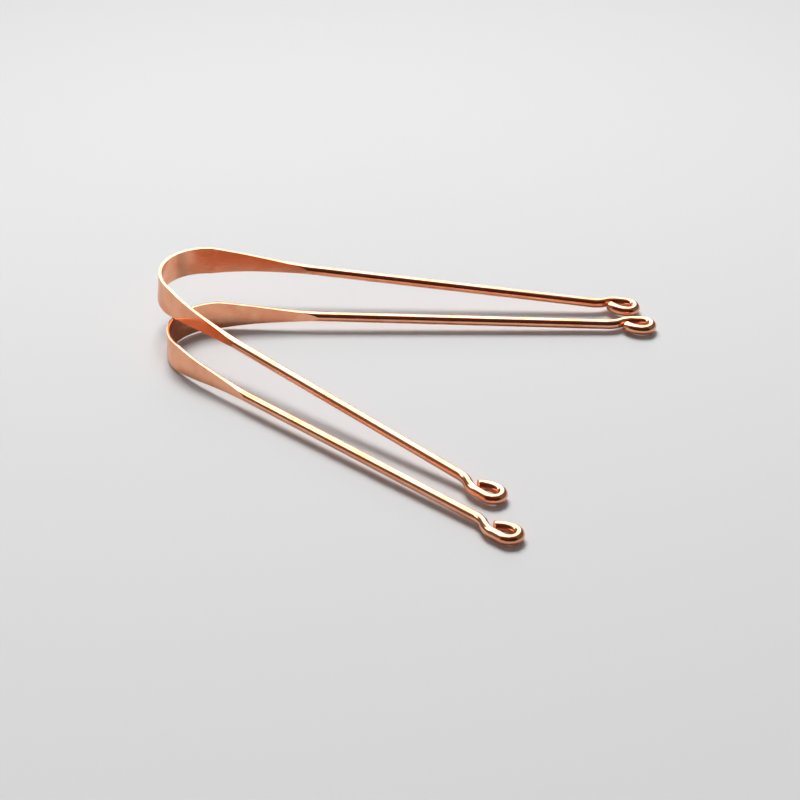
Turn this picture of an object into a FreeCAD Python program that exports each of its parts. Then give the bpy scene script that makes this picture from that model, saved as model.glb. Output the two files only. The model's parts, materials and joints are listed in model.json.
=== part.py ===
"""A set of two tongue scrapers, each bent from one length of round copper wire.

The middle of the wire is rolled flat and bent into a bow, the shoulders run back into round wire, and
each arm ends in a curled eye. One scraper lies on the table. The other is propped on it, blade on blade.
Millimetres and degrees, +X from the bow to the eyes, +Z up.
"""
import FreeCAD
import Part
import Sketcher
import math
import os

# name, value, what it measures
SIZES = (
    ("wire_diameter", "3.0", "round wire that a whole scraper is bent from"),
    ("strip_width", "9.1", "height of the blade, where the wire is rolled flat"),
    ("strip_thickness", "0.8", "thickness of the blade between its two flats"),
    ("bow_radius", "16.3", "middle line of the round bow"),
    ("bow_angle", "61", "degrees of the bow on each side of its apex"),
    ("flank_radius", "87", "gentle curve that each shoulder starts with"),
    ("shoulder_length", "30.6", "from the end of the bow to where the wire is round again"),
    ("facet_tip", "0.1", "width at which the rolled flat runs out on the wire"),
    ("left_arm_length", "88.85", "straight round wire from the left shoulder to its eye"),
    ("right_arm_length", "88.0", "straight round wire from the right shoulder to its eye"),
    ("lower_splay_angle", "20.9", "degrees between a lower arm and the middle line"),
    ("upper_splay_angle", "18.9", "degrees between an upper arm and the middle line"),
    ("offset_radius", "7.6", "double bend that sets the eye's outer side off the arm"),
    ("offset_angle", "34", "degrees of each half of that double bend"),
    ("left_eye_side", "2.3", "straight outer side of the left eye"),
    ("right_eye_side", "3.4", "straight outer side of the right eye, bent a little longer"),
    ("eye_radius", "2.75", "round far end of the eye"),
    ("return_radius", "6.5", "inner side of the eye, which curls back towards the arm"),
    ("left_return_angle", "52", "degrees of the left eye's inner side, up to the cut end"),
    ("right_return_angle", "55", "degrees of the right eye's inner side, up to the cut end"),
    ("cut_round", "0.3", "rounding of the cut end's rim"),
    ("flex_clearance", "0.05", "between a shoulder's round end and its seat in the bow"),
    ("rest_length", "3.1", "from the upper bow's end to where that shoulder rests on the lower apex"),
    ("rest_gap", "0.2", "between the upper blade and the lower blade where they cross"),
    ("upper_yaw_angle", "-1.34", "degrees that the upper scraper is turned from the lower one"),
)

# Where the shoulder's sections stand along its length, how fast its width falls and its thickness grows.
STATION_SHARES = (0, 0.25, 0.5, 0.7, 0.85, 0.95, 1)
WIDTH_POWER = 1.5
THICKNESS_POWER = 5

# The right side is the left one turned over about the middle line by this many degrees.
SIDES = {"left": 0, "right": 180}

# The wire as it was before it was rolled, as expressions.
ROUND = "Sizes.wire_diameter"
WIRE_RADIUS = "Sizes.wire_diameter / 2"

# How a sketch numbers a line's points, and its own two axes, of which the first also holds the origin.
START, END, CENTRE = range(1, 4)
LEVEL_AXIS, UPRIGHT_AXIS = range(-1, -3, -1)
ORIGIN = (LEVEL_AXIS, START)

doc = FreeCAD.newDocument("tongue_scrapers")
sheet = doc.addObject("Spreadsheet::Sheet", "Sizes")
for row, (name, value, note) in enumerate(SIZES, start=1):
    sheet.set(f"A{row}", name)
    sheet.set(f"B{row}", value)
    sheet.set(f"C{row}", note)
    sheet.setAlias(f"B{row}", name)
doc.recompute()
size = {name: float(sheet.get(name)) for name, value, note in SIZES}


def shoulder_width(share):
    """Width of the shoulder, as an expression, at a share of its length."""
    tip = "(Sizes.wire_diameter + Sizes.facet_tip)"
    return f"{tip} + (Sizes.strip_width - {tip}) * {(1 - share) ** WIDTH_POWER}"


def shoulder_thickness(share):
    """Thickness of the shoulder, as an expression: thin for most of its length, then quickly round."""
    growth = "(Sizes.wire_diameter - Sizes.strip_thickness)"
    return f"Sizes.strip_thickness + {growth} * {share ** THICKNESS_POWER}"


def new_body(label):
    """Starts one piece."""
    body = doc.addObject("PartDesign::Body", label)
    body.Label = label
    return body


def origin_item(body, role):
    """One of the body's own planes or axes."""
    return next(item for item in body.Origin.OriginFeatures if item.Role == role)


def new_sketch(body, name, plane):
    """Starts a sketch on one of the body's own planes."""
    sketch = body.newObject("Sketcher::SketchObject", f"{body.Label}_{name}")
    sketch.AttachmentSupport = [(origin_item(body, plane), "")]
    sketch.MapMode = "FlatFace"
    return sketch


def bind(sketch, constraint, name, expression):
    """Adds a driving constraint and ties it to the sheet."""
    index = sketch.addConstraint(constraint)
    sketch.renameConstraint(index, name)
    sketch.setExpression(f"Constraints.{name}", expression)


def value_of(expression):
    """Number that an expression on the sheet stands for."""
    return float(sheet.evalExpression(expression))


def point(x, y):
    """Point in a sketch."""
    return FreeCAD.Vector(x, y, 0)


def arc_about(centre, radius, first, last):
    """Arc in a sketch, anticlockwise between two angles in degrees."""
    circle = Part.Circle(centre, FreeCAD.Vector(0, 0, 1), radius)
    return Part.ArcOfCircle(circle, math.radians(first), math.radians(last))


def fix(sketch, kind, *places):
    """Adds a constraint that has no size."""
    sketch.addConstraint(Sketcher.Constraint(kind, *places))


def join_round(sketch, kind, lines):
    """Joins each line of a closed section to the next, the last to the first."""
    for line, following in zip(lines, lines[1:] + lines[:1]):
        fix(sketch, kind, line, END, following, START)


def fix_edges(sketch, top_edge, bottom_edge, radius_expression, spacing_expression):
    """Sets a section's round edges alike above and below its middle, by their radius and spacing."""
    fix(sketch, "PointOnObject", top_edge, CENTRE, UPRIGHT_AXIS)
    fix(sketch, "Symmetric", top_edge, CENTRE, bottom_edge, CENTRE, *ORIGIN)
    fix(sketch, "Equal", top_edge, bottom_edge)
    radius = Sketcher.Constraint("Radius", top_edge, value_of(radius_expression))
    bind(sketch, radius, "edge_radius", radius_expression)
    spacing = value_of(spacing_expression)
    edge_spacing = Sketcher.Constraint("DistanceY", bottom_edge, CENTRE, top_edge, CENTRE, spacing)
    bind(sketch, edge_spacing, "edge_spacing", spacing_expression)


def fix_flat(sketch, name, near_point, far_point, half_expression):
    """Sets an upright flat off the middle by half of the thickness."""
    half = value_of(half_expression)
    bind(sketch, Sketcher.Constraint("DistanceX", *near_point, *far_point, half), name, half_expression)


def draw_section(sketch, width, thickness):
    """Rolled section, upright in the sketch: round wire spread to a width between two flats."""
    spacing_expression = f"({width}) - Sizes.wire_diameter"
    half_expression = f"({thickness}) / 2"
    radius = value_of(WIRE_RADIUS)
    rise = value_of(spacing_expression) / 2
    half = value_of(half_expression)
    corner = rise + math.sqrt(max(radius ** 2 - half ** 2, 0))
    reach = math.degrees(math.asin(min(half / radius, 1)))
    outer_flat, top_edge, inner_flat, bottom_edge = lines = [0, 1, 2, 3]
    sketch.addGeometry(Part.LineSegment(point(half, -corner), point(half, corner)))
    sketch.addGeometry(arc_about(point(0, rise), radius, 90 - reach, 90 + reach))
    sketch.addGeometry(Part.LineSegment(point(-half, corner), point(-half, -corner)))
    sketch.addGeometry(arc_about(point(0, -rise), radius, 270 - reach, 270 + reach))
    if thickness == ROUND:
        join_round(sketch, "Tangent", lines)
    else:
        join_round(sketch, "Coincident", lines)
        fix(sketch, "Vertical", outer_flat)
        fix(sketch, "Vertical", inner_flat)
        fix_flat(sketch, "outer_half", ORIGIN, (outer_flat, END), half_expression)
        fix_flat(sketch, "inner_half", (inner_flat, START), ORIGIN, half_expression)
    fix_edges(sketch, top_edge, bottom_edge, WIRE_RADIUS, spacing_expression)


def draw_half_strip(sketch, clearance):
    """Half of the blade's section beside the upright axis, grown by a clearance, for turning."""
    radius_expression = f"{WIRE_RADIUS} + {clearance}"
    half_expression = f"Sizes.strip_thickness / 2 + {clearance}"
    spacing_expression = "Sizes.strip_width - Sizes.wire_diameter"
    radius = value_of(radius_expression)
    rise = value_of(spacing_expression) / 2
    half = value_of(half_expression)
    corner = rise + math.sqrt(radius ** 2 - half ** 2)
    reach = math.degrees(math.asin(half / radius))
    outer_flat, top_edge, middle, bottom_edge = lines = [0, 1, 2, 3]
    sketch.addGeometry(Part.LineSegment(point(half, -corner), point(half, corner)))
    sketch.addGeometry(arc_about(point(0, rise), radius, 90 - reach, 90))
    sketch.addGeometry(Part.LineSegment(point(0, rise + radius), point(0, -rise - radius)))
    sketch.addGeometry(arc_about(point(0, -rise), radius, 270, 270 + reach))
    join_round(sketch, "Coincident", lines)
    fix(sketch, "PointOnObject", middle, START, UPRIGHT_AXIS)
    fix(sketch, "PointOnObject", middle, END, UPRIGHT_AXIS)
    fix(sketch, "Vertical", outer_flat)
    fix_flat(sketch, "outer_half", ORIGIN, (outer_flat, END), half_expression)
    fix_edges(sketch, top_edge, bottom_edge, radius_expression, spacing_expression)


def turned(body, kind, sketch, axis, angle):
    """Turns a sketch about an axis, to add or to cut."""
    feature = body.newObject(f"PartDesign::{kind}", f"{sketch.Label}_turned")
    feature.Profile = sketch
    feature.ReferenceAxis = axis
    feature.setExpression("Angle", angle)
    return feature


def make_bow(label):
    """Rolled strip turned through the bow, with a round seat for each shoulder at its ends."""
    body = new_body(label)
    section = new_sketch(body, "section", "XZ_Plane")
    draw_section(section, "Sizes.strip_width", "Sizes.strip_thickness")
    section.setExpression("AttachmentOffset.Base.x", "-Sizes.bow_radius")
    ring = turned(body, "Revolution", section, (origin_item(body, "Z_Axis"), [""]), "2 * Sizes.bow_angle")
    ring.Midplane = True
    for side, sign in (("left", "-"), ("right", "")):
        seat = new_sketch(body, f"{side}_seat", "XZ_Plane")
        draw_half_strip(seat, "Sizes.flex_clearance")
        seat.setExpression("AttachmentOffset.Base.x", "-Sizes.bow_radius * cos(Sizes.bow_angle)")
        seat.setExpression("AttachmentOffset.Base.z", f"{sign}Sizes.bow_radius * sin(Sizes.bow_angle)")
        turned(body, "Groove", seat, (seat, ["V_Axis"]), "360")
    return body


def flank_turn(splay):
    """Degrees, as an expression, that a shoulder's curve has left to turn after the bow."""
    return f"(90 - Sizes.bow_angle - Sizes.{splay})"


def shoulder_line(splay, run):
    """Place along a shoulder's middle line, as expressions: forward, aside towards the middle, turn."""
    curve = f"(Sizes.flank_radius * {flank_turn(splay)} * pi / 180)"
    turn = f"(min({run}; {curve}) / Sizes.flank_radius * 180 / pi)"
    straight = f"max({run} - {curve}; 0)"
    forward = f"Sizes.flank_radius * sin({turn}) + {straight} * cos({turn})"
    aside = f"Sizes.flank_radius * (1 - cos({turn})) + {straight} * sin({turn})"
    return forward, aside, turn


def make_shoulder(label, splay):
    """Strip that narrows and thickens into round wire, with a round end that seats in the bow."""
    body = new_body(label)
    tongue = new_sketch(body, "round_end", "YZ_Plane")
    draw_half_strip(tongue, "0")
    turned(body, "Revolution", tongue, (tongue, ["V_Axis"]), "180")
    sections = []
    for index, share in enumerate(STATION_SHARES):
        section = new_sketch(body, f"section_{index}", "YZ_Plane")
        thickness = ROUND if share == STATION_SHARES[-1] else shoulder_thickness(share)
        draw_section(section, shoulder_width(share), thickness)
        forward, aside, turn = shoulder_line(splay, f"(Sizes.shoulder_length * {share})")
        # A turn of one degree sets the axis, and the expression below then sets the angle.
        about_upright = FreeCAD.Rotation(FreeCAD.Vector(0, 1, 0), 1)
        section.AttachmentOffset = FreeCAD.Placement(FreeCAD.Vector(), about_upright)
        section.setExpression("AttachmentOffset.Base.x", f"-({aside})")
        section.setExpression("AttachmentOffset.Base.z", forward)
        section.setExpression("AttachmentOffset.Rotation.Angle", f"-{turn}")
        sections.append(section)
    doc.recompute()
    loft = body.newObject("PartDesign::AdditiveLoft", f"{label}_loft")
    loft.Profile = sections[0]
    loft.Sections = [(section, [""]) for section in sections[1:]]
    return body


def draw_wire_section(sketch):
    """Round section of the wire."""
    radius = size["wire_diameter"] / 2
    sketch.addGeometry(Part.Circle(point(0, 0), FreeCAD.Vector(0, 0, 1), radius))
    fix(sketch, "Coincident", 0, CENTRE, *ORIGIN)
    bind(sketch, Sketcher.Constraint("Radius", 0, radius), "wire_radius", WIRE_RADIUS)


def make_arm(label, side):
    """Straight round wire."""
    body = new_body(label)
    section = new_sketch(body, "section", "YZ_Plane")
    draw_wire_section(section)
    pad = body.newObject("PartDesign::Pad", f"{label}_wire")
    pad.Profile = section
    pad.setExpression("Length", f"Sizes.{side}_arm_length")
    return body


# The eye's middle line: bends to the outer side are positive, a bend of zero is straight.
EYE_RUNS = (
    ("offset_out", "offset_radius", "offset_angle", 1),
    ("offset_back", "offset_radius", "offset_angle", -1),
    ("outer_side", "{side}_eye_side", None, 0),
    ("far_end", "eye_radius", None, -1),
    ("inner_side", "return_radius", "{side}_return_angle", -1),
)
HALF_TURN = 180


def eye_line(side):
    """Runs of one side's eye along its middle line, with where each starts, heads, turns and ends."""
    place = point(0, 0)
    heading = 0
    runs = []
    for name, reach_name, turn_name, bend in EYE_RUNS:
        reach_name = reach_name.format(side=side)
        turn_name = turn_name and turn_name.format(side=side)
        reach = size[reach_name]
        turn = bend * (size[turn_name] if turn_name else HALF_TURN)
        rotation = FreeCAD.Rotation(FreeCAD.Vector(0, 0, 1), heading)
        if bend:
            centre = place + rotation.multVec(point(0, bend * reach))
            swing = FreeCAD.Rotation(FreeCAD.Vector(0, 0, 1), turn)
            end = centre + swing.multVec(place - centre)
        else:
            centre = None
            end = place + rotation.multVec(point(reach, 0))
        runs.append({"name": name, "start": place, "end": end, "heading": heading, "turn": turn,
                     "reach": reach, "centre": centre, "bend": bend,
                     "reach_name": reach_name, "turn_name": turn_name})
        place = end
        heading += turn
    return runs


def draw_eye_line(sketch, side):
    """Draws the eye's middle line, each run tangent to the one before."""
    previous = None
    for index, run in enumerate(eye_line(side)):
        first, last = (END, START) if run["bend"] < 0 else (START, END)
        if run["bend"]:
            start_angle = run["heading"] - run["bend"] * 90
            end_angle = start_angle + run["turn"]
            low, high = sorted((start_angle, end_angle))
            sketch.addGeometry(arc_about(run["centre"], run["reach"], low, high))
        else:
            sketch.addGeometry(Part.LineSegment(run["start"], run["end"]))
        if previous is None:
            fix(sketch, "Coincident", index, first, *ORIGIN)
            fix(sketch, "PointOnObject", index, CENTRE, UPRIGHT_AXIS)
        else:
            fix(sketch, "Tangent", *previous, index, first)
        kind = "Radius" if run["bend"] else "Distance"
        bind(sketch, Sketcher.Constraint(kind, index, run["reach"]), f"{run['name']}_reach",
             f"Sizes.{run['reach_name']}")
        if run["bend"]:
            turn = f"Sizes.{run['turn_name']}" if run["turn_name"] else f"{HALF_TURN}"
            bind(sketch, Sketcher.Constraint("Angle", index, math.radians(abs(run["turn"]))),
                 f"{run['name']}_turn", f"{turn} * 1 deg")
        previous = (index, last)


def make_eye(label, side):
    """Wire bent off the arm's line and curled round to a cut end beside it."""
    body = new_body(label)
    line = new_sketch(body, "line", "XY_Plane")
    draw_eye_line(line, side)
    section = new_sketch(body, "section", "YZ_Plane")
    draw_wire_section(section)
    doc.recompute()
    curl = body.newObject("PartDesign::AdditivePipe", f"{label}_curl")
    curl.Profile = section
    curl.Spine = (line, [""])
    doc.recompute()
    cut_end = eye_line(side)[-1]["end"]
    reach = [edge.CenterOfMass.distanceToPoint(cut_end) for edge in curl.Shape.Edges]
    rim = reach.index(min(reach)) + 1
    fillet = body.newObject("PartDesign::Fillet", f"{label}_cut_end")
    fillet.Base = (curl, [f"Edge{rim}"])
    fillet.setExpression("Radius", "Sizes.cut_round")
    return body


def turn_about_z(angle):
    """Placement that only turns about the upright axis."""
    return FreeCAD.Placement(FreeCAD.Vector(), FreeCAD.Rotation(FreeCAD.Vector(0, 0, 1), angle))


def shift(x, y, z=0):
    """Placement that only moves."""
    return FreeCAD.Placement(FreeCAD.Vector(x, y, z), FreeCAD.Rotation())


def bow_end():
    """Frame at the end of the bow on its left side, heading along the wire; the apex is the origin."""
    bow = shift(size["bow_radius"], 0) * turn_about_z(-size["bow_angle"])
    return bow * shift(-size["bow_radius"], 0) * turn_about_z(90)


def shoulder_frame(splay, run):
    """Frame on the left shoulder's middle line at a run past the bow's end."""
    forward, aside, turn = (value_of(item) for item in shoulder_line(splay, f"({run})"))
    return bow_end() * shift(forward, -aside) * turn_about_z(-turn)


def eye_frame(splay, side):
    """Frame at the end of an arm, where its eye starts, as if the arm were on the left."""
    return shoulder_frame(splay, size["shoulder_length"]) * shift(size[f"{side}_arm_length"], 0)


def eye_tip(splay):
    """Furthest place of the eyes' middle lines along a scraper, where they touch the table."""
    tips = []
    for side in SIDES:
        far_end = next(run for run in eye_line(side) if run["name"] == "far_end")
        tips.append(eye_frame(splay, side).multVec(far_end["centre"]).x + far_end["reach"])
    return max(tips)


def lean(reach, half_width, rise):
    """Angle of a scraper whose lower edge is raised and whose eyes, a reach away, touch the table."""
    wire_radius = size["wire_diameter"] / 2
    slant = math.hypot(reach, half_width)
    return math.degrees(math.atan2(half_width, reach) + math.asin((rise - wire_radius) / slant))


def stand(foot, tip, place, half_width, yaw):
    """Pose of a scraper that puts the lower edge under a point of its middle line on a place."""
    angle = lean(tip - foot.x, half_width, place.z)
    turn = turn_about_z(yaw).Rotation * FreeCAD.Rotation(FreeCAD.Vector(0, 1, 0), angle)
    edge = FreeCAD.Vector(foot.x, foot.y, -half_width)
    return FreeCAD.Placement(place - turn.multVec(edge), turn)


def poses():
    """Poses of both scrapers: apex at the origin of each, the lower one along +X."""
    half_strip = size["strip_width"] / 2
    foot = FreeCAD.Vector(bow_end().Base.x, 0, 0)
    lower = stand(foot, eye_tip("lower_splay_angle"), foot, half_strip, 0)
    top = lower.multVec(FreeCAD.Vector(0, 0, half_strip))
    share = size["rest_length"] / size["shoulder_length"]
    half_width = value_of(shoulder_width(share)) / 2
    left_rest = shoulder_frame("upper_splay_angle", size["rest_length"]).Base
    right_rest = FreeCAD.Vector(left_rest.x, -left_rest.y, 0)
    place = top + FreeCAD.Vector(0, 0, size["rest_gap"])
    upper = stand(right_rest, eye_tip("upper_splay_angle"), place, half_width, size["upper_yaw_angle"])
    return {"lower": lower, "upper": upper}


def make_scraper(name, pose):
    """All the pieces of one scraper, in its pose."""
    splay = f"{name}_splay_angle"
    bow = make_bow(f"{name}_bow")
    bow.Placement = pose * shift(size["bow_radius"], 0)
    bodies = [bow]
    for side, flip in SIDES.items():
        mirror = FreeCAD.Placement(FreeCAD.Vector(), FreeCAD.Rotation(FreeCAD.Vector(1, 0, 0), flip))
        shoulder = make_shoulder(f"{name}_{side}_shoulder", splay)
        shoulder.Placement = pose * mirror * bow_end()
        arm = make_arm(f"{name}_{side}_arm", side)
        arm.Placement = pose * mirror * shoulder_frame(splay, size["shoulder_length"])
        eye = make_eye(f"{name}_{side}_eye", side)
        eye.Placement = pose * mirror * eye_frame(splay, side)
        bodies += [shoulder, arm, eye]
    return bodies


def centre_on_table(bodies):
    """Moves the set so that the origin is under its middle, on the table."""
    doc.recompute()
    boxes = [body.Shape.optimalBoundingBox(False) for body in bodies]
    whole = boxes[0]
    for box in boxes[1:]:
        whole.add(box)
    move = shift(-whole.Center.x, -whole.Center.y, -whole.ZMin)
    for body in bodies:
        body.Placement = move * body.Placement
    doc.recompute()
    return move


def check(bodies):
    """Stops if a feature failed or a piece isn't one closed solid."""
    for item in doc.Objects:
        if "Invalid" in item.State or "Error" in item.State:
            raise RuntimeError(f"{item.Label} failed: {item.State}")
    for body in bodies:
        shape = body.Shape
        if shape.isNull() or not shape.isValid() or len(shape.Solids) != 1:
            raise RuntimeError(f"{body.Label} is not one valid solid")


all_bodies = []
for scraper, scraper_pose in poses().items():
    all_bodies += make_scraper(scraper, scraper_pose)
to_row = centre_on_table(all_bodies)
check(all_bodies)
os.makedirs("parts", exist_ok=True)
for piece in all_bodies:
    piece.Shape.exportStep(f"parts/{piece.Label}.step")
print(f"{len(all_bodies)} pieces written")
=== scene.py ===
"""Dresses a set of two copper tongue scrapers: rolled blades, drawn wires, bare copper, a plain studio."""
import json
import math

import bmesh
import bpy
from bpy.props import FloatProperty, FloatVectorProperty, IntProperty, PointerProperty
from mathutils import Matrix, Vector


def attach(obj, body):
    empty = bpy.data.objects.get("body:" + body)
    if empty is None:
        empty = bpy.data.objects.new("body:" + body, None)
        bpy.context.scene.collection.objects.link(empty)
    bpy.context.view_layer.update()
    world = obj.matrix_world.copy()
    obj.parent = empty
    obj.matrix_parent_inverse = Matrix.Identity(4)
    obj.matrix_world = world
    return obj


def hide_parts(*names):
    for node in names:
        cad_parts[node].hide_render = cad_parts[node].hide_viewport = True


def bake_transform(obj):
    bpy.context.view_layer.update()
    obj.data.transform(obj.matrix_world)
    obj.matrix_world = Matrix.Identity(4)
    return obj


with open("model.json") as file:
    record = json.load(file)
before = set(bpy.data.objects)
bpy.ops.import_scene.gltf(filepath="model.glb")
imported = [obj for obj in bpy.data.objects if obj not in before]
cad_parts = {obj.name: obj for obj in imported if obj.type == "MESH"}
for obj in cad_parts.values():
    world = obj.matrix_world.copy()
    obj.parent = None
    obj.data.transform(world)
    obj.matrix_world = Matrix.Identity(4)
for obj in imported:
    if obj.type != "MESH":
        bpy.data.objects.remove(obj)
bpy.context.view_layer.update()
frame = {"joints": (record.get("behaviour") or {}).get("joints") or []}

bl_info = {
    "name": "Copper Tongue Scrapers",
    "version": (1, 0, 0),
    "blender": (4, 5, 0),
    "location": "3D View > Sidebar > Scrapers",
    "description": "Bent wires with a rolled blade, their copper and a plain studio",
    "category": "Add Mesh",
}

SCRAPERS = ("lower", "upper")
SIDES = {"left": 1, "right": -1}
ZONES = ("shoulder", "arm", "eye")

# Spacing of the stations along a wire, in metres, and the angles at which a cut end's rim is rounded.
APEX_STEP = 0.0002
SHOULDER_STEP = 0.00022
RUN_OUT = 0.004
RUN_OUT_STEP = 0.0004
ARM_STEP = 0.0016
EYE_STEP = 0.00018
RIM_ANGLES = range(0, 91, 9)
NO_CUT_RUN = 1.0

# The swept section: radius of the ring before it is shaped, share of a quarter's points on the flat, the
# ratio of thickness to wire that counts as round, how fast the points even out on round wire, and the
# angle from which an edge is shaded sharp.
RING_RADIUS = 0.001
FLAT_SHARE = 0.375
ROUND_RATIO = 0.9994
EVEN_RATE = 10.0
SHARP_ANGLE = math.radians(12)

# The copper: lines per metre and stretch of each set of lines, depth of the rough cut end, and limits of
# the roughness.
LINE_SETS = (("fine", 9000.0, 45.0), ("broad", 2200.0, 25.0))
CUT_FADE = 0.00012
ROUGHNESS_LIMITS = (0.06, 0.7)

# The table's size, its drop below the part and where it fades, in metres from the camera's target.
TABLE_HALF_SIDE = 10
TABLE_DROP = 0.0005
FAR_START = 0.14
FAR_END = 0.5
TABLE_SPECULAR = 0.05

# The card's corners from that target: aside, towards the camera and up, in metres.
CARD_CORNERS = ((-4.0, 2.6, 0.01), (4.0, 2.6, 0.01), (2.2, 0.8, 2.5), (-2.2, 0.8, 2.5))
CARD_ROUGHNESS = 0.9

# The camera's sensor in millimetres and the nearest thing it sees in metres.
SENSOR_WIDTH = 36.0
CLIP_START = 0.01


class ScraperSizes(bpy.types.PropertyGroup):
    """Sizes of the bent wires, the same as those of the solids in the frame."""

    wire_diameter: FloatProperty(
        name="Wire Diameter", description="Round wire of the arms and eyes", default=0.0030, unit="LENGTH")
    strip_width: FloatProperty(
        name="Strip Width", description="Height of the rolled blade", default=0.0091, unit="LENGTH")
    strip_thickness: FloatProperty(
        name="Strip Thickness", description="Thickness of the rolled blade", default=0.0008, unit="LENGTH")
    width_power: FloatProperty(
        name="Width Power", description="How early the strip narrows along the shoulder", default=1.5)
    thickness_power: FloatProperty(
        name="Thickness Power", description="How late the strip thickens along the shoulder", default=5.0)
    bow_radius: FloatProperty(
        name="Bow Radius", description="Middle of the strip round the bow", default=0.0163, unit="LENGTH")
    bow_angle: FloatProperty(
        name="Bow Angle", description="Turn of the bow from its apex to each hinge",
        default=math.radians(61), unit="ROTATION")
    flank_radius: FloatProperty(
        name="Flank Radius", description="Wide bend after the bow", default=0.087, unit="LENGTH")
    shoulder_length: FloatProperty(
        name="Shoulder Length", description="Run where the strip turns back to wire",
        default=0.0306, unit="LENGTH")
    lower_splay: FloatProperty(
        name="Lower Splay", description="Angle of the lower arms to the middle line",
        default=math.radians(20.9), unit="ROTATION")
    upper_splay: FloatProperty(
        name="Upper Splay", description="Angle of the upper arms to the middle line",
        default=math.radians(18.9), unit="ROTATION")
    left_arm_length: FloatProperty(
        name="Left Arm Length", description="Straight wire of the left arms",
        default=0.08885, unit="LENGTH")
    right_arm_length: FloatProperty(
        name="Right Arm Length", description="Straight wire of the right arms",
        default=0.0880, unit="LENGTH")
    offset_radius: FloatProperty(
        name="Offset Radius", description="Bends that set the eye beside the arm",
        default=0.0076, unit="LENGTH")
    offset_angle: FloatProperty(
        name="Offset Angle", description="Turn of each offset bend",
        default=math.radians(34), unit="ROTATION")
    left_eye_side: FloatProperty(
        name="Left Eye Side", description="Straight side of the left eyes", default=0.0023, unit="LENGTH")
    right_eye_side: FloatProperty(
        name="Right Eye Side", description="Straight side of the right eyes", default=0.0034, unit="LENGTH")
    eye_radius: FloatProperty(
        name="Eye Radius", description="Half turn at the eye's far end", default=0.00275, unit="LENGTH")
    return_radius: FloatProperty(
        name="Return Radius", description="Bend that brings the cut end back to the wire",
        default=0.0065, unit="LENGTH")
    left_return_angle: FloatProperty(
        name="Left Return Angle", description="Turn of the left return bend",
        default=math.radians(52), unit="ROTATION")
    right_return_angle: FloatProperty(
        name="Right Return Angle", description="Turn of the right return bend",
        default=math.radians(55), unit="ROTATION")
    cut_round: FloatProperty(
        name="Cut Round", description="Rounded rim of each cut end", default=0.0003, unit="LENGTH")
    blade_run: FloatProperty(
        name="Blade Run", description="Run each side of the apex that does not flex",
        default=0.009, unit="LENGTH")
    rim_points: IntProperty(
        name="Rim Points", description="Points round the wire, a multiple of 16", default=64, min=16)


class CopperLook(bpy.types.PropertyGroup):
    """Bare copper, handled but not yet dull."""

    copper: FloatVectorProperty(
        name="Copper", description="Bright copper", subtype="COLOR", size=3, default=(0.89, 0.43, 0.255))
    tarnish: FloatVectorProperty(
        name="Tarnish", description="Copper where it has been handled", subtype="COLOR", size=3,
        default=(0.78, 0.285, 0.14))
    wire_roughness: FloatProperty(
        name="Wire Roughness", description="Gloss of the drawn wire", subtype="FACTOR", default=0.13,
        min=0.0, max=1.0)
    blade_roughness: FloatProperty(
        name="Blade Roughness", description="Gloss of the rolled strip", subtype="FACTOR", default=0.2,
        min=0.0, max=1.0)
    line_depth: FloatProperty(
        name="Line Depth", description="Depth of the lengthwise lines", default=0.0000025, unit="LENGTH",
        precision=6)


class StageLook(bpy.types.PropertyGroup):
    """Plain pale studio seen as the photograph was taken."""

    floor_colour: FloatVectorProperty(
        name="Floor", description="Pale table", subtype="COLOR", size=3, default=(0.75, 0.75, 0.753))
    far_colour: FloatVectorProperty(
        name="Far Floor", description="Tone in which the camera sees the table far from the part",
        subtype="COLOR", size=3, default=(0.70, 0.70, 0.703))
    floor_roughness: FloatProperty(
        name="Floor Roughness", description="Blur of the table's reflections", subtype="FACTOR",
        default=0.45, min=0.0, max=1.0)
    # Painted reflection: colour of the card that the wires mirror as their dark red-brown band.
    painted_reflection_colour: FloatVectorProperty(
        name="Card", description="Dark card that the metal mirrors on the camera's side", subtype="COLOR",
        size=3, default=(0.10, 0.03, 0.02))
    sky_level: FloatProperty(
        name="Sky Level", description="Brightness of the white walls", default=0.18, min=0.0)
    key_level: FloatProperty(
        name="Key Level", description="Brightness of the key softbox", default=13.8, min=0.0)
    panel_level: FloatProperty(
        name="Panel Level", description="Brightness of the white panels in the metal", default=3.8, min=0.0)
    target: FloatVectorProperty(
        name="Target", description="Point on the table that the camera faces", subtype="TRANSLATION", size=3,
        default=(0.01438, -0.00958, 0.0))
    azimuth: FloatProperty(
        name="Azimuth", description="Camera's turn round the part", default=math.radians(-68.25),
        unit="ROTATION")
    elevation: FloatProperty(
        name="Elevation", description="Camera's height angle", default=math.radians(31.05), unit="ROTATION")
    distance: FloatProperty(
        name="Distance", description="Camera to target", default=0.7336, unit="LENGTH")
    lens: FloatProperty(
        name="Lens", description="Focal length", default=112.5, unit="CAMERA")


class Value:
    """A number inside a node tree, so that a rule can be written as plain arithmetic."""

    def __init__(self, tree, socket):
        self.tree = tree
        self.socket = socket

    def math(self, operation, *others):
        node = self.tree.nodes.new("ShaderNodeMath")
        node.operation = operation
        for socket, item in zip(node.inputs, (self, *others)):
            if isinstance(item, Value):
                self.tree.links.new(item.socket, socket)
            else:
                socket.default_value = item
        return Value(self.tree, node.outputs[0])

    def __add__(self, other):
        return self.math("ADD", other)

    def __sub__(self, other):
        return self.math("SUBTRACT", other)

    def __rsub__(self, other):
        return self.math("MULTIPLY_ADD", -1.0, other)

    def __mul__(self, other):
        return self.math("MULTIPLY", other)

    def __truediv__(self, other):
        return self.math("DIVIDE", other)

    def __pow__(self, other):
        return self.math("POWER", other)

    __radd__ = __add__
    __rmul__ = __mul__

    def __abs__(self):
        return self.math("ABSOLUTE")

    def clamped(self, low=0.0, high=1.0):
        return self.math("MAXIMUM", low).math("MINIMUM", high)


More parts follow.
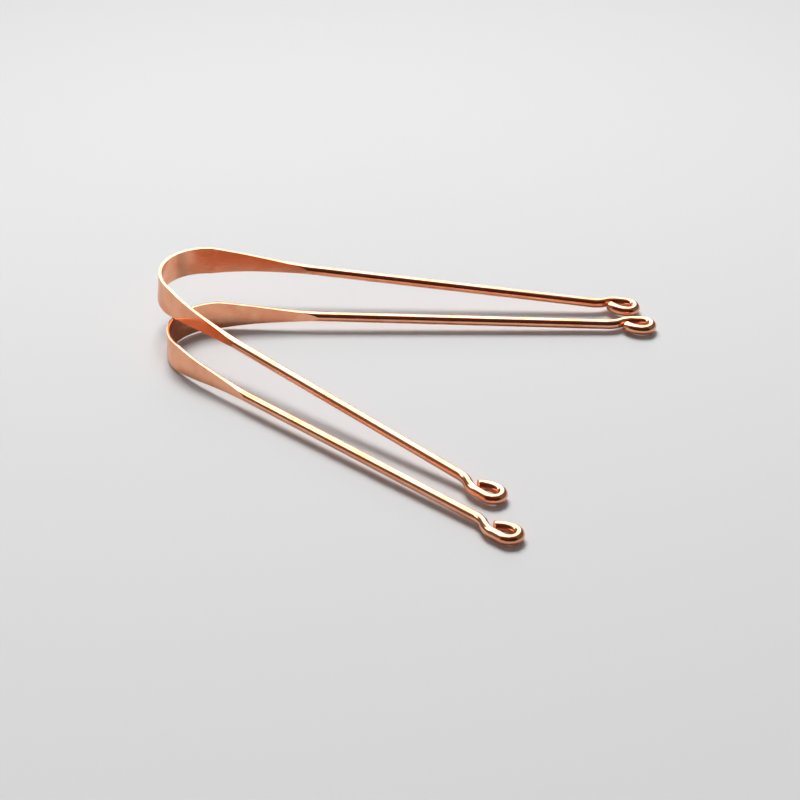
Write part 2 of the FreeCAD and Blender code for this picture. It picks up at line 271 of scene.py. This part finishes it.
def add_node(tree, kind, inputs=None, **settings):
    """A new node with its settings, and with its inputs linked to sockets or set to values."""
    node = tree.nodes.new(kind)
    for name, setting in settings.items():
        setattr(node, name, setting)
    for name, item in (inputs or {}).items():
        if isinstance(item, Value):
            item = item.socket
        if isinstance(item, bpy.types.NodeSocket):
            tree.links.new(item, node.inputs[name])
        else:
            node.inputs[name].default_value = item
    return node


def rolled_wire_tree():
    """Geometry Nodes that sweep wire along a row of points and roll it flat near the apex.

    The section is the round wire pressed between two flats, which run out as a leaf on each shoulder.
    """
    tree = bpy.data.node_groups.get("Rolled Wire")
    if tree:
        return tree
    tree = bpy.data.node_groups.new("Rolled Wire", "GeometryNodeTree")
    tree.is_modifier = True
    tree.interface.new_socket("Points", in_out="INPUT", socket_type="NodeSocketGeometry")
    for name in ("Wire Diameter", "Strip Width", "Strip Thickness", "Width Power", "Thickness Power",
                 "Flat Run", "Shoulder Run", "Start Run", "Cut Run", "Cut Round"):
        tree.interface.new_socket(name, in_out="INPUT", socket_type="NodeSocketFloat")
    tree.interface.new_socket("Rim Points", in_out="INPUT", socket_type="NodeSocketInt")
    tree.interface.new_socket("Material", in_out="INPUT", socket_type="NodeSocketMaterial")
    tree.interface.new_socket("Wire", in_out="OUTPUT", socket_type="NodeSocketGeometry")
    given = add_node(tree, "NodeGroupInput").outputs
    size = {name: Value(tree, given[name]) for name in given.keys() if name}

    # The line of the wire, its inner side and the run along it.
    points = add_node(tree, "GeometryNodeMeshToPoints", {"Mesh": given["Points"]})
    index = add_node(tree, "GeometryNodeInputIndex")
    line = add_node(tree, "GeometryNodePointsToCurves",
                    {"Points": points.outputs[0], "Weight": index.outputs[0]})
    tangent = add_node(tree, "GeometryNodeInputTangent")
    inner = add_node(tree, "ShaderNodeVectorMath", {0: tangent.outputs[0], 1: (0.0, 0.0, 1.0)},
                     operation="CROSS_PRODUCT")
    keep = add_node(tree, "GeometryNodeCaptureAttribute", {"Geometry": line.outputs[0]})
    for kind, name in (("VECTOR", "Middle"), ("VECTOR", "Inner"), ("FLOAT", "Length")):
        keep.capture_items.new(kind, name)
    place = add_node(tree, "GeometryNodeInputPosition")
    along = add_node(tree, "GeometryNodeSplineParameter")
    tree.links.new(place.outputs[0], keep.inputs["Middle"])
    tree.links.new(inner.outputs[0], keep.inputs["Inner"])
    tree.links.new(along.outputs["Length"], keep.inputs["Length"])
    rim = add_node(tree, "GeometryNodeCurvePrimitiveCircle",
                   {"Resolution": given["Rim Points"], "Radius": RING_RADIUS})
    turn = add_node(tree, "GeometryNodeSplineParameter")
    keep_rim = add_node(tree, "GeometryNodeCaptureAttribute", {"Geometry": rim.outputs[0]})
    keep_rim.capture_items.new("FLOAT", "Turn")
    tree.links.new(turn.outputs["Factor"], keep_rim.inputs["Turn"])
    sweep = add_node(tree, "GeometryNodeCurveToMesh",
                     {"Curve": keep.outputs[0], "Profile Curve": keep_rim.outputs[0], "Fill Caps": True})

    # Width and thickness of the section at this run. Its two edges keep the round of the wire.
    run = Value(tree, keep.outputs["Length"]) + size["Start Run"]
    reach = abs(run)
    past = (reach - size["Flat Run"]) / size["Shoulder Run"]
    share = past.clamped()
    wire = size["Wire Diameter"]
    width = wire + (size["Strip Width"] - wire) * (1.0 - share) ** size["Width Power"]
    thick = size["Strip Thickness"] + (wire - size["Strip Thickness"]) * share ** size["Thickness Power"]
    edge = wire * 0.5
    half_arc = (thick / wire).math("MINIMUM", ROUND_RATIO).math("ARCSINE")
    flat = width * 0.5 - edge * (1.0 - half_arc.math("COSINE"))

    # Each quarter of the rim has a share of its points on the flat and the rest round the edge. On the
    # round wire they are spread evenly.
    turns = Value(tree, keep_rim.outputs["Turn"])
    quarter = (turns * 4.0).math("PINGPONG", 1.0)
    last = flat + edge * half_arc
    even = ((past - 1.0) * EVEN_RATE).clamped()
    first = flat.math("MAXIMUM", last * even * FLAT_SHARE)
    on_edge = ((quarter - FLAT_SHARE) / (1.0 - FLAT_SHARE)).clamped()
    bent = first * (quarter / FLAT_SHARE).clamped() + (last - first) * on_edge
    bend = half_arc - (bent - flat).math("MAXIMUM", 0.0) / edge
    circle = turns * (-2 * math.pi)
    to_cut = (size["Cut Run"] - reach).math("MAXIMUM", 0.0)
    rim_left = (size["Cut Round"] - to_cut).math("MAXIMUM", 0.0)
    inset = size["Cut Round"] - (size["Cut Round"] * size["Cut Round"] - rim_left * rim_left).math("SQRT")
    shrink = 1.0 - inset / edge
    inward = edge * bend.math("SINE") * circle.math("COSINE").math("SIGN") * shrink
    upward = bent.math("MINIMUM", flat) + edge * (bend.math("COSINE") - half_arc.math("COSINE"))
    upward = upward * circle.math("SINE").math("SIGN") * shrink
    aside = add_node(tree, "ShaderNodeVectorMath", {0: keep.outputs["Inner"], "Scale": inward},
                     operation="SCALE")
    lifted = add_node(tree, "ShaderNodeCombineXYZ", {"Z": upward})
    middle = add_node(tree, "ShaderNodeVectorMath", {0: keep.outputs["Middle"], 1: aside.outputs[0]},
                      operation="ADD")
    shaped = add_node(tree, "ShaderNodeVectorMath", {0: middle.outputs[0], 1: lifted.outputs[0]},
                      operation="ADD")
    formed = add_node(tree, "GeometryNodeSetPosition",
                      {"Geometry": sweep.outputs[0], "Position": shaped.outputs[0]})

    # What the copper reads: its place along and across the wire, how far it is rolled, and the cut end.
    wire_place = add_node(tree, "ShaderNodeCombineXYZ", {"X": run, "Y": inward, "Z": upward})
    kept = formed.outputs[0]
    for name, kind, item in (("wire_place", "FLOAT_VECTOR", wire_place.outputs[0]),
                             ("rolled", "FLOAT", 1.0 - share), ("to_cut", "FLOAT", to_cut)):
        store = add_node(tree, "GeometryNodeStoreNamedAttribute", data_type=kind, domain="POINT")
        store.inputs["Name"].default_value = name
        tree.links.new(kept, store.inputs["Geometry"])
        tree.links.new(item.socket if isinstance(item, Value) else item, store.inputs["Value"])
        kept = store.outputs[0]
    smooth = add_node(tree, "GeometryNodeSetShadeSmooth", {"Geometry": kept, "Shade Smooth": True},
                      domain="FACE")
    angle = add_node(tree, "GeometryNodeInputMeshEdgeAngle")
    sharp = Value(tree, angle.outputs["Unsigned Angle"]).math("GREATER_THAN", SHARP_ANGLE)
    crisp = add_node(tree, "GeometryNodeSetShadeSmooth",
                     {"Geometry": smooth.outputs[0], "Selection": sharp, "Shade Smooth": False},
                     domain="EDGE")
    real = add_node(tree, "GeometryNodeRealizeInstances", {"Geometry": crisp.outputs[0]})
    coat = add_node(tree, "GeometryNodeSetMaterial",
                    {"Geometry": real.outputs[0], "Material": given["Material"]})
    result = add_node(tree, "NodeGroupOutput")
    tree.links.new(coat.outputs[0], result.inputs["Wire"])
    return tree


def lengthwise_lines_group():
    """Shader group: fine lines that run along the wire, as rolls and a drawing die leave them."""
    group = bpy.data.node_groups.get("Lengthwise Lines")
    if group:
        return group
    group = bpy.data.node_groups.new("Lengthwise Lines", "ShaderNodeTree")
    group.interface.new_socket("Place", in_out="INPUT", socket_type="NodeSocketVector")
    group.interface.new_socket("Lines per Metre", in_out="INPUT", socket_type="NodeSocketFloat")
    group.interface.new_socket("Stretch", in_out="INPUT", socket_type="NodeSocketFloat")
    group.interface.new_socket("Height", in_out="OUTPUT", socket_type="NodeSocketFloat")
    group.interface.new_socket("Scratches", in_out="OUTPUT", socket_type="NodeSocketFloat")
    given = add_node(group, "NodeGroupInput").outputs
    parts = add_node(group, "ShaderNodeSeparateXYZ", {"Vector": given["Place"]})
    slow = Value(group, parts.outputs["X"]) / Value(group, given["Stretch"])
    stretched = add_node(group, "ShaderNodeCombineXYZ",
                         {"X": slow, "Y": parts.outputs["Y"], "Z": parts.outputs["Z"]})
    noise = add_node(group, "ShaderNodeTexNoise",
                     {"Vector": stretched.outputs[0], "Scale": given["Lines per Metre"], "Detail": 3.0,
                      "Roughness": 0.6})
    height = Value(group, noise.outputs[0])
    result = add_node(group, "NodeGroupOutput", {"Height": height})
    scratches = add_node(group, "ShaderNodeMapRange",
                         {"Value": height, "From Min": 0.60, "From Max": 0.74},
                         interpolation_type="SMOOTHSTEP")
    group.links.new(scratches.outputs[0], result.inputs["Scratches"])
    return group


def bare_copper(look):
    """Bare copper: satin on the rolled strip, brighter on the drawn wire, rougher on the cut ends."""
    copper = bpy.data.materials.get("bare_copper")
    if copper:
        return copper
    copper = bpy.data.materials.new("bare_copper")
    copper.use_nodes = True
    tree = copper.node_tree
    tree.nodes.clear()
    place = add_node(tree, "ShaderNodeAttribute", attribute_name="wire_place").outputs["Vector"]
    rolled = Value(tree, add_node(tree, "ShaderNodeAttribute", attribute_name="rolled").outputs["Fac"])
    to_cut = add_node(tree, "ShaderNodeAttribute", attribute_name="to_cut").outputs["Fac"]
    cut = Value(tree, add_node(
        tree, "ShaderNodeMapRange", {"Value": to_cut, "From Min": 0.0, "From Max": CUT_FADE, "To Min": 1.0,
                                     "To Max": 0.0}).outputs[0])
    spots = add_node(tree, "ShaderNodeTexCoord").outputs["Object"]
    group = lengthwise_lines_group()
    lines = {}
    for name, count, stretch in LINE_SETS:
        lines[name] = add_node(tree, "ShaderNodeGroup", node_tree=group)
        lines[name].inputs["Lines per Metre"].default_value = count
        lines[name].inputs["Stretch"].default_value = stretch
        tree.links.new(place, lines[name].inputs["Place"])
    fine = Value(tree, lines["fine"].outputs["Height"])
    broad = Value(tree, lines["broad"].outputs["Height"])
    scratches = Value(tree, lines["fine"].outputs["Scratches"])

    # Handled patches, a few millimetres to a few centimetres across.
    patches = add_node(tree, "ShaderNodeTexNoise",
                       {"Vector": spots, "Scale": 110.0, "Detail": 4.0, "Roughness": 0.55,
                        "Distortion": 0.6})
    handled = Value(tree, add_node(
        tree, "ShaderNodeMapRange", {"Value": patches.outputs[0], "From Min": 0.38, "From Max": 0.68},
        interpolation_type="SMOOTHSTEP").outputs[0])
    tone = (handled * 0.7 + (broad - 0.5) * 0.5 + scratches * 0.15).clamped()
    colour = add_node(tree, "ShaderNodeMix", {"Factor": tone}, data_type="RGBA")
    colour.inputs["A"].default_value = (*look.copper, 1.0)
    colour.inputs["B"].default_value = (*look.tarnish, 1.0)

    # Gloss falls with handling, lines, scratches and on the cut ends, which are also chipped.
    gloss = rolled * (look.blade_roughness - look.wire_roughness) + look.wire_roughness
    gloss = gloss + handled * 0.05 + (fine - 0.5) * 0.12 + scratches * 0.06 + cut * 0.22
    chipped = add_node(tree, "ShaderNodeTexNoise", {"Vector": spots, "Scale": 5200.0, "Detail": 2.0})
    height = fine * 0.55 + broad * rolled + Value(tree, chipped.outputs[0]) * cut * 5.0
    bump = add_node(tree, "ShaderNodeBump", {"Height": height, "Strength": 1.0, "Distance": look.line_depth})
    surface = add_node(tree, "ShaderNodeBsdfPrincipled",
                       {"Base Color": colour.outputs["Result"], "Metallic": 1.0,
                        "Roughness": gloss.clamped(*ROUGHNESS_LIMITS), "Normal": bump.outputs[0]})
    add_node(tree, "ShaderNodeOutputMaterial", {"Surface": surface.outputs[0]})
    return copper


def wire_runs(sizes, scraper, side):
    """Runs of a wire from the apex to its cut end, each a length and a turn away from the middle line."""
    splay = getattr(sizes, f"{scraper}_splay")
    flank = math.pi / 2 - sizes.bow_angle - splay
    straight = sizes.shoulder_length - sizes.flank_radius * flank + getattr(sizes, f"{side}_arm_length")
    back = getattr(sizes, f"{side}_return_angle")
    return (
        (sizes.bow_radius * sizes.bow_angle, -sizes.bow_angle),
        (sizes.flank_radius * flank, -flank),
        (straight, 0.0),
        (sizes.offset_radius * sizes.offset_angle, sizes.offset_angle),
        (sizes.offset_radius * sizes.offset_angle, -sizes.offset_angle),
        (getattr(sizes, f"{side}_eye_side"), 0.0),
        (sizes.eye_radius * math.pi, -math.pi),
        (sizes.return_radius * back, -back),
    )


def wire_point(runs, run):
    """Point of the wire at a run from the apex, in the scraper's own plane."""
    x, y, heading = 0.0, 0.0, math.pi / 2
    for length, turn in runs:
        share = min(run, length) / length
        if turn:
            radius = length / turn
            x += radius * (math.sin(heading + turn * share) - math.sin(heading))
            y -= radius * (math.cos(heading + turn * share) - math.cos(heading))
        else:
            x += length * share * math.cos(heading)
            y += length * share * math.sin(heading)
        heading += turn * share
        run -= length
        if run <= 0:
            break
    return Vector((x, y, 0.0))


def spread(start, end, step):
    """Even stations from start up to, but not with, end."""
    count = max(1, math.ceil((end - start) / step))
    return [start + (end - start) * i / count for i in range(count)]


def scraper_pose(sizes, scraper):
    """Carries a scraper's own plane, with the apex at its origin, to where the frame's hinges hold it."""
    hinges = {joint["name"]: joint for joint in frame["joints"]}
    left = Vector(hinges[f"{scraper}_left_flex"]["pos_m"])
    right = Vector(hinges[f"{scraper}_right_flex"]["pos_m"])
    up = Vector(hinges[f"{scraper}_right_flex"]["axis"]).normalized()
    across = (left - right).normalized()
    along = across.cross(up)
    apex = (left + right) / 2 - along * sizes.bow_radius * (1 - math.cos(sizes.bow_angle))
    turn = Matrix((along, across, up)).transposed().to_4x4()
    return Matrix.Translation(apex) @ turn


def make_wire(context, name, points, pose, start_run, cut_run):
    """One closed stretch of wire through a row of points, as a plain mesh in its place."""
    sizes = context.scene.scraper_sizes
    line = bpy.data.meshes.new(f"{name}_line")
    line.from_pydata(points, [], [])
    piece = bpy.data.objects.new(name, line)
    context.scene.collection.objects.link(piece)
    tree = rolled_wire_tree()
    sweep = piece.modifiers.new("Rolled Wire", "NODES")
    sweep.node_group = tree
    given = {
        "Wire Diameter": sizes.wire_diameter, "Strip Width": sizes.strip_width,
        "Strip Thickness": sizes.strip_thickness, "Width Power": sizes.width_power,
        "Thickness Power": sizes.thickness_power, "Flat Run": sizes.bow_radius * sizes.bow_angle,
        "Shoulder Run": sizes.shoulder_length, "Start Run": start_run, "Cut Run": cut_run,
        "Cut Round": sizes.cut_round, "Rim Points": sizes.rim_points,
        "Material": bare_copper(context.scene.copper_look),
    }
    for socket in tree.interface.items_tree:
        if socket.in_out == "INPUT" and socket.name in given:
            sweep[socket.identifier] = given[socket.name]
    even = piece.modifiers.new("Even Shading", "WEIGHTED_NORMAL")
    even.mode = "FACE_AREA"
    even.keep_sharp = True
    graph = context.evaluated_depsgraph_get()
    mesh = bpy.data.meshes.new_from_object(piece.evaluated_get(graph), preserve_all_data_layers=True,
                                           depsgraph=graph)
    piece.modifiers.clear()
    piece.data = mesh
    bpy.data.meshes.remove(line)
    mesh.name = name
    mesh.transform(pose)
    test = bmesh.new()
    test.from_mesh(mesh)
    volume = test.calc_volume(signed=True)
    closed = all(edge.is_manifold for edge in test.edges)
    test.free()
    if volume <= 0 or not closed:
        raise RuntimeError(f"{name} is not a closed wire with its faces outwards: {volume}, {closed}")
    return piece


class SCRAPERS_OT_make_blades(bpy.types.Operator):
    """Make the middle of both rolled blades, round the apex of each bow"""

    bl_idname = "scrapers.make_blades"
    bl_label = "Make Blades"

    def execute(self, context):
        sizes = context.scene.scraper_sizes
        for scraper in SCRAPERS:
            runs = wire_runs(sizes, scraper, "left")
            half = spread(0.0, sizes.blade_run, APEX_STEP)[1:] + [sizes.blade_run]
            points = [wire_point(runs, run) for run in [0.0, *half]]
            points = [Vector((p.x, -p.y, 0.0)) for p in reversed(points[1:])] + points
            piece = make_wire(context, f"{scraper}_blade", points, scraper_pose(sizes, scraper),
                              -sizes.blade_run, NO_CUT_RUN)
            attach(piece, f"{scraper}_bow")
            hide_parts(f"{scraper}_bow")
        return {"FINISHED"}


class SCRAPERS_OT_make_wires(bpy.types.Operator):
    """Make the flanks, shoulders, arms and curled eyes of both scrapers"""

    bl_idname = "scrapers.make_wires"
    bl_label = "Make Wires"

    def execute(self, context):
        sizes = context.scene.scraper_sizes
        for scraper in SCRAPERS:
            pose = scraper_pose(sizes, scraper)
            for side, sign in SIDES.items():
                runs = wire_runs(sizes, scraper, side)
                cut_run = sum(length for length, turn in runs)
                eye = sum(length for length, turn in runs[:3])
                shoulder = runs[0][0] + sizes.shoulder_length
                stations = spread(sizes.blade_run, shoulder, SHOULDER_STEP)
                stations += spread(shoulder, shoulder + RUN_OUT, RUN_OUT_STEP)
                stations += spread(shoulder + RUN_OUT, eye, ARM_STEP)
                stations += spread(eye, cut_run - sizes.cut_round, EYE_STEP)
                stations += [cut_run - sizes.cut_round * (1 - math.sin(math.radians(angle)))
                             for angle in RIM_ANGLES]
                points = [wire_point(runs, run) for run in stations]
                points = [Vector((p.x, p.y * sign, 0.0)) for p in points]
                start_run = sizes.blade_run
                if sign < 0:
                    points.reverse()
                    start_run = -cut_run
                piece = make_wire(context, f"{scraper}_{side}_wire", points, pose, start_run, cut_run)
                flex = [pose @ Vector((p.x, p.y * sign, 0.0)) for p in
                        (wire_point(runs, sizes.blade_run),
                         wire_point(runs, 2 * runs[0][0] - sizes.blade_run))]
                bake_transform(piece)
                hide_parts(*(f"{scraper}_{side}_{zone}" for zone in ZONES))
        return {"FINISHED"}


def stage_plane(context, name, corners):
    """A flat sheet of the studio, marked as no part of the object."""
    mesh = bpy.data.meshes.new(name)
    mesh.from_pydata(corners, [], [range(len(corners))])
    sheet = bpy.data.objects.new(name, mesh)
    context.scene.collection.objects.link(sheet)
    return sheet


class SCRAPERS_OT_set_stage(bpy.types.Operator):
    """Set the pale table, the soft studio light and the camera"""

    bl_idname = "scrapers.set_stage"
    bl_label = "Set Stage"

    def execute(self, context):
        look = context.scene.stage_look
        target = Vector(look.target)
        towards = Vector((math.cos(look.azimuth), math.sin(look.azimuth), 0.0))
        aside = Vector((-towards.y, towards.x, 0.0))
        up = Vector((0.0, 0.0, 1.0))

        floor = stage_plane(context, "table", [
            target + aside * TABLE_HALF_SIDE * i + towards * TABLE_HALF_SIDE * j - up * TABLE_DROP
            for i, j in ((-1, 1), (1, 1), (1, -1), (-1, -1))])
        pale = bpy.data.materials.new("pale_table")
        pale.use_nodes = True
        surface = pale.node_tree.nodes["Principled BSDF"]
        surface.inputs["Base Color"].default_value = (*look.floor_colour, 1.0)
        surface.inputs["Roughness"].default_value = look.floor_roughness
        surface.inputs["Specular IOR Level"].default_value = TABLE_SPECULAR
        floor.data.materials.append(pale)

        # Away from the part the table fades into one pale tone, in the camera's view alone.
        tree = pale.node_tree
        place = add_node(tree, "ShaderNodeNewGeometry").outputs["Position"]
        reach = add_node(tree, "ShaderNodeVectorMath", {0: place, 1: target}, operation="DISTANCE")
        far = Value(tree, add_node(
            tree, "ShaderNodeMapRange",
            {"Value": reach.outputs["Value"], "From Min": FAR_START, "From Max": FAR_END},
            interpolation_type="SMOOTHSTEP").outputs[0])
        seen = Value(tree, add_node(tree, "ShaderNodeLightPath").outputs["Is Camera Ray"])
        glow = add_node(tree, "ShaderNodeEmission", {"Color": (*look.far_colour, 1.0)})
        faded = add_node(tree, "ShaderNodeMixShader",
                         {0: far * seen, 1: surface.outputs[0], 2: glow.outputs[0]})
        tree.links.new(faded.outputs[0], tree.nodes["Material Output"].inputs["Surface"])

        # A dark brown card on the camera's side, which only the metal mirrors: a painted reflection, whose
        # colour the wires show as their dark red-brown band.
        card = stage_plane(context, "dark_card", [
            target + aside * i + towards * j + up * k for i, j, k in CARD_CORNERS])
        brown = bpy.data.materials.new("dark_card")
        brown.use_nodes = True
        surface = brown.node_tree.nodes["Principled BSDF"]
        surface.inputs["Base Color"].default_value = (*look.painted_reflection_colour, 1.0)
        surface.inputs["Roughness"].default_value = CARD_ROUGHNESS
        card.data.materials.append(brown)
        card.visible_camera = False
        card.visible_diffuse = False

        # A key softbox behind, which the metal does not mirror, and two white panels that show only as
        # reflections in the metal: a wide one overhead that reaches to the left, and a tall one behind.
        # Each has its level, place, way it is turned from, width, depth, and whether it lights the table.
        for name, level, place, facing, width, depth, lights_table in (
                ("key_softbox", look.key_level, (-0.35, 1.35, 2.0), (-0.35, 1.35, 2.0), 1.15, 1.15, True),
                ("overhead_panel", look.panel_level, (-1.35, 0.55, 2.0), (0, 0, 1), 3.3, 0.9, False),
                ("back_panel", look.panel_level, (0.0, 2.0, 1.8), (0.0, 2.0, 1.8), 2.0, 3.0, False)):
            lamp = bpy.data.lights.new(name, "AREA")
            lamp.shape = "RECTANGLE"
            lamp.size = width
            lamp.size_y = depth
            lamp.energy = level * math.pi * width * depth
            softbox = bpy.data.objects.new(name, lamp)
            softbox.location = target + aside * place[0] - towards * place[1] + up * place[2]
            away = (aside * facing[0] - towards * facing[1] + up * facing[2]).normalized()
            softbox.rotation_euler = Matrix((aside, away.cross(aside), away)).transposed().to_euler()
            softbox.visible_camera = False
            softbox.visible_diffuse = lights_table
            softbox.visible_glossy = not lights_table
            context.scene.collection.objects.link(softbox)

        world = bpy.data.worlds.new("white_walls")
        world.use_nodes = True
        sky = world.node_tree.nodes["Background"]
        sky.inputs["Color"].default_value = (1.0, 1.0, 1.0, 1.0)
        sky.inputs["Strength"].default_value = look.sky_level
        context.scene.world = world

        eye = bpy.data.cameras.new("camera")
        eye.lens = look.lens
        eye.sensor_width = SENSOR_WIDTH
        eye.clip_start = CLIP_START
        camera = bpy.data.objects.new("camera", eye)
        offset = towards * math.cos(look.elevation) + up * math.sin(look.elevation)
        camera.location = target + offset * look.distance
        camera.rotation_euler = (-offset).to_track_quat("-Z", "Y").to_euler()
        context.scene.collection.objects.link(camera)
        context.scene.camera = camera
        context.scene.view_settings.view_transform = "Standard"
        return {"FINISHED"}


class SCRAPERS_PT_tools(bpy.types.Panel):
    """Sizes, looks and steps of the scrapers"""

    bl_idname = "SCRAPERS_PT_tools"
    bl_label = "Copper Tongue Scrapers"
    bl_space_type = "VIEW_3D"
    bl_region_type = "UI"
    bl_category = "Scrapers"

    def draw(self, context):
        for group in ("scraper_sizes", "copper_look", "stage_look"):
            box = self.layout.box()
            settings = getattr(context.scene, group)
            for name in settings.bl_rna.properties.keys():
                if name not in ("rna_type", "name"):
                    box.prop(settings, name)
        for operator in (SCRAPERS_OT_make_blades, SCRAPERS_OT_make_wires, SCRAPERS_OT_set_stage):
            self.layout.operator(operator.bl_idname)


CLASSES = (ScraperSizes, CopperLook, StageLook, SCRAPERS_OT_make_blades, SCRAPERS_OT_make_wires,
           SCRAPERS_OT_set_stage, SCRAPERS_PT_tools)


def register():
    for item in CLASSES:
        bpy.utils.register_class(item)
    bpy.types.Scene.scraper_sizes = PointerProperty(type=ScraperSizes)
    bpy.types.Scene.copper_look = PointerProperty(type=CopperLook)
    bpy.types.Scene.stage_look = PointerProperty(type=StageLook)


def unregister():
    del bpy.types.Scene.stage_look
    del bpy.types.Scene.copper_look
    del bpy.types.Scene.scraper_sizes
    for item in reversed(CLASSES):
        bpy.utils.unregister_class(item)


def main():
    """Registers the add-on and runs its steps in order."""
    register()
    bpy.ops.scrapers.make_blades()
    bpy.ops.scrapers.make_wires()
    bpy.ops.scrapers.set_stage()


if __name__ == "__main__":
    main()
